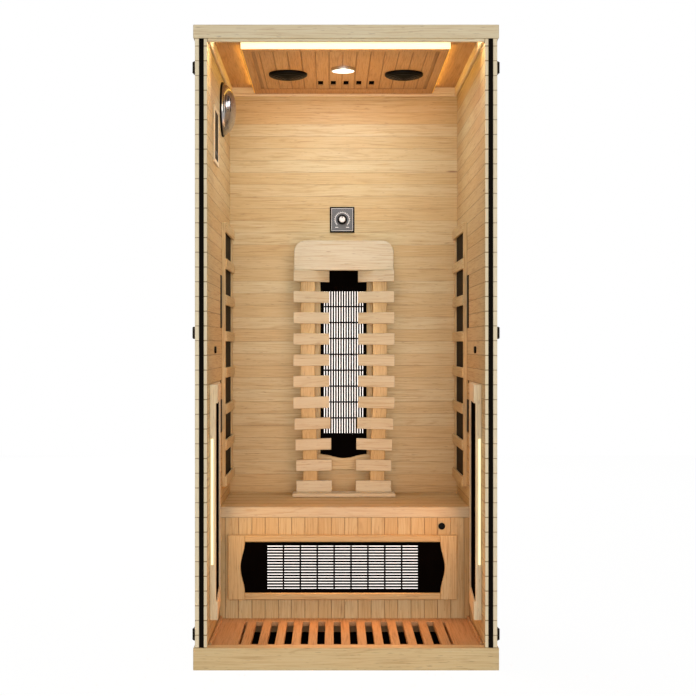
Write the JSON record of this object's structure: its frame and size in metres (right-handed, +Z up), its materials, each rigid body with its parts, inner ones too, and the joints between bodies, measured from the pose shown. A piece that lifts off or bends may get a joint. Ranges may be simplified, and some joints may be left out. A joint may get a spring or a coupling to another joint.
{
  "type": "infrared sauna cabin",
  "caption": "Boarded hemlock infrared sauna cabin with bench, curved backrest, guarded heaters, slotted floor and lit ceiling, its front wall taken off.",
  "frame": {"origin": "on the floor, at the centre of the footprint", "axes": "+Z up, -Y towards the open front, +X to the right as seen from the front"},
  "size_m": [0.9068, 0.9, 1.9],
  "materials": {
    "hemlock": "sanded bare hemlock boards",
    "plywood": "raw plywood",
    "black_rubber": "matt foam seal",
    "black_enamel": "satin black heat-proof paint",
    "white_ceramic": "matt white ceramic coat",
    "warm_light": "frosted diffuser",
    "black_plastic": "fine moulded texture",
    "grey_plastic": "glossy moulded grey",
    "chrome": "polished plated rim",
    "bronze_steel": "dark bronze plated steel"
  },
  "bodies": {
    "cabin": {"base_frame": "hemlock", "base_pan": "plywood", "floor_heater": "black_enamel", "left_outer_panel": "hemlock", "left_inner_lining": "hemlock", "left_groove_seal": "black_rubber", "right_outer_panel": "hemlock", "right_inner_lining": "hemlock", "right_groove_seal": "black_rubber", "back_outer_panel": "hemlock", "back_inner_lining": "hemlock", "roof_tray": "hemlock", "ceiling_panel": "hemlock", "cove_light": "warm_light", "speaker_left": "black_plastic", "speaker_right": "black_plastic", "ceiling_lamp": "chrome", "bench_rail": "hemlock", "bench_front": "hemlock", "bench_seat": "hemlock", "bench_cleats": "plywood", "leg_heater_frame": "hemlock", "leg_heater_guard": "black_enamel", "leg_heater_element": "white_ceramic", "back_heater_frame": "hemlock", "back_heater_guard": "black_enamel", "back_heater_element": "white_ceramic", "calf_heater_frame_left": "hemlock", "calf_heater_panel_left": "black_enamel", "calf_light_left": "warm_light", "calf_heater_frame_right": "hemlock", "calf_heater_panel_right": "black_enamel", "calf_light_right": "warm_light", "side_lattice_left": "hemlock", "side_heater_left": "black_enamel", "side_lattice_right": "hemlock", "side_heater_right": "black_enamel", "dial_plate": "grey_plastic", "control_panel": "black_plastic", "ionizer": "grey_plastic", "power_unit": "black_plastic", "latch_base_left_top": "bronze_steel", "latch_base_left_middle": "bronze_steel", "latch_base_left_bottom": "bronze_steel", "latch_base_right_top": "bronze_steel", "latch_base_right_middle": "bronze_steel", "latch_base_right_bottom": "bronze_steel"},
    "backrest": {"backrest_foot_rail": "hemlock", "backrest_left_ladder": "hemlock", "backrest_right_ladder": "hemlock", "backrest_headrest": "hemlock"},
    "floor_grate": {"floor_grate": "hemlock"},
    "dial_knob": {"dial_knob": "black_plastic"},
    "bench_button": {"bench_button": "black_plastic"},
    "lever_left_top": {"latch_lever_left_top": "bronze_steel"},
    "lever_left_middle": {"latch_lever_left_middle": "bronze_steel"},
    "lever_left_bottom": {"latch_lever_left_bottom": "bronze_steel"},
    "lever_right_top": {"latch_lever_right_top": "bronze_steel"},
    "lever_right_middle": {"latch_lever_right_middle": "bronze_steel"},
    "lever_right_bottom": {"latch_lever_right_bottom": "bronze_steel"}
  },
  "joints": [
    {"name": "backrest_lift", "type": "slide", "parent": "cabin", "child": "backrest", "axis": [0, 0, 1], "range_m": [0, 0.25]},
    {"name": "floor_grate_lift", "type": "slide", "parent": "cabin", "child": "floor_grate", "axis": [0, 0, 1], "range_m": [0, 0.05]},
    {"name": "dial_turn", "type": "hinge", "parent": "cabin", "child": "dial_knob", "pos_m": [-0.005, 0.4, 1.407], "axis": [0, 1, 0], "range_deg": [-135, 135]},
    {"name": "button_press", "type": "slide", "parent": "cabin", "child": "bench_button", "axis": [0, 1, 0], "range_m": [0, 0.003], "stiffness_N_per_m": 400},
    {"name": "latch_left_top", "type": "hinge", "parent": "cabin", "child": "lever_left_top", "pos_m": [-0.4505, -0.436, 1.7757], "axis": [0, 0, 1], "range_deg": [0, 110]},
    {"name": "latch_left_middle", "type": "hinge", "parent": "cabin", "child": "lever_left_middle", "pos_m": [-0.4505, -0.436, 0.9933], "axis": [0, 0, 1], "range_deg": [0, 110]},
    {"name": "latch_left_bottom", "type": "hinge", "parent": "cabin", "child": "lever_left_bottom", "pos_m": [-0.4505, -0.436, 0.1043], "axis": [0, 0, 1], "range_deg": [0, 110]},
    {"name": "latch_right_top", "type": "hinge", "parent": "cabin", "child": "lever_right_top", "pos_m": [0.4505, -0.436, 1.7757], "axis": [0, 0, -1], "range_deg": [0, 110]},
    {"name": "latch_right_middle", "type": "hinge", "parent": "cabin", "child": "lever_right_middle", "pos_m": [0.4505, -0.436, 0.9933], "axis": [0, 0, -1], "range_deg": [0, 110]},
    {"name": "latch_right_bottom", "type": "hinge", "parent": "cabin", "child": "lever_right_bottom", "pos_m": [0.4505, -0.436, 0.1043], "axis": [0, 0, -1], "range_deg": [0, 110]}
  ]
}
